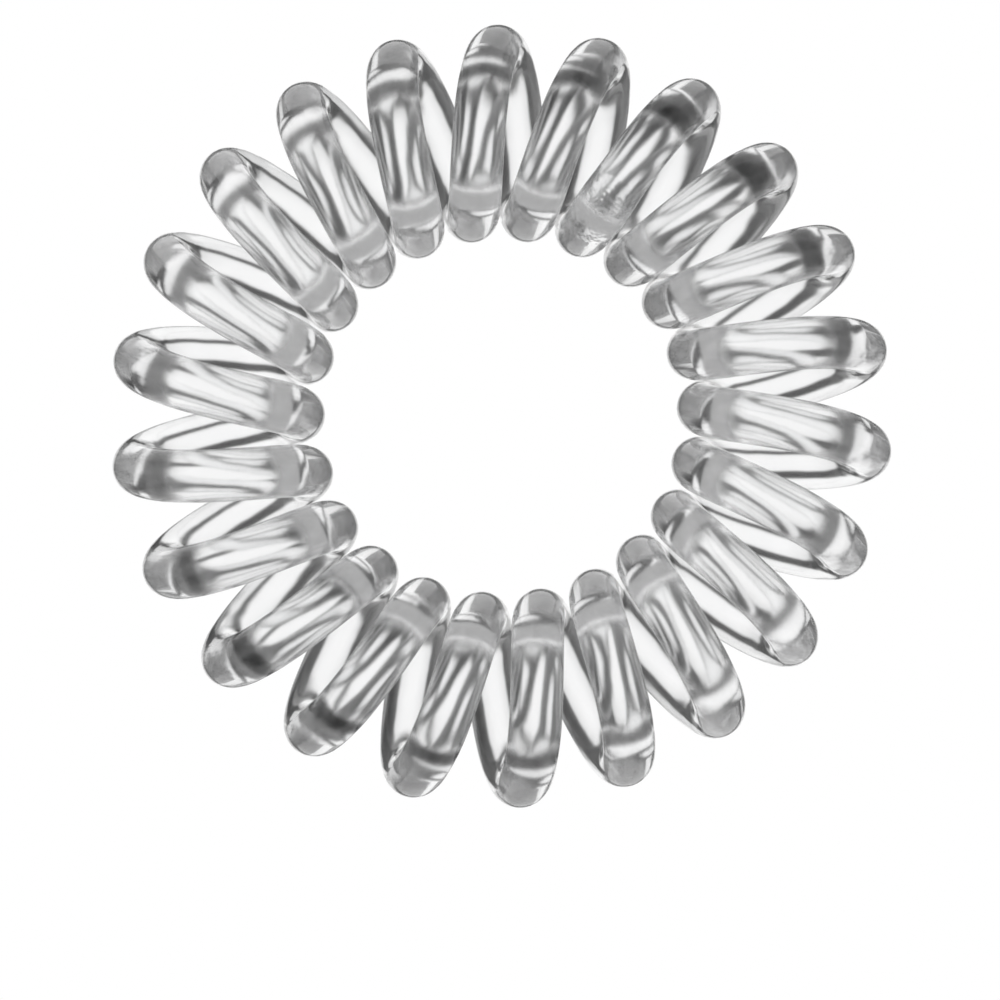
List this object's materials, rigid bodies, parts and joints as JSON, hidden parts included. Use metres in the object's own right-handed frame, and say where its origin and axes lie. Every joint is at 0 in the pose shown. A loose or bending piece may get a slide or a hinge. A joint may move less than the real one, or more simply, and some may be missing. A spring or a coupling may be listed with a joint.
{
  "type": "spiral hair tie",
  "caption": "Clear spiral hair tie: a round plastic cord wound into a springy coil and closed into a ring, with a round hole for the hair.",
  "frame": {"origin": "centre of the ring, on the plane that the tie rests on", "axes": "+Z along the ring's axis, up from the plane it rests on; +Y towards the middle of the first turn's outer side"},
  "size_m": [0.0347, 0.035, 0.0097],
  "materials": {
    "clear_polyurethane": "clear colourless polyurethane, smooth and glossy"
  },
  "bodies": {
    "root": {"coil": "clear_polyurethane"}
  },
  "joints": []
}
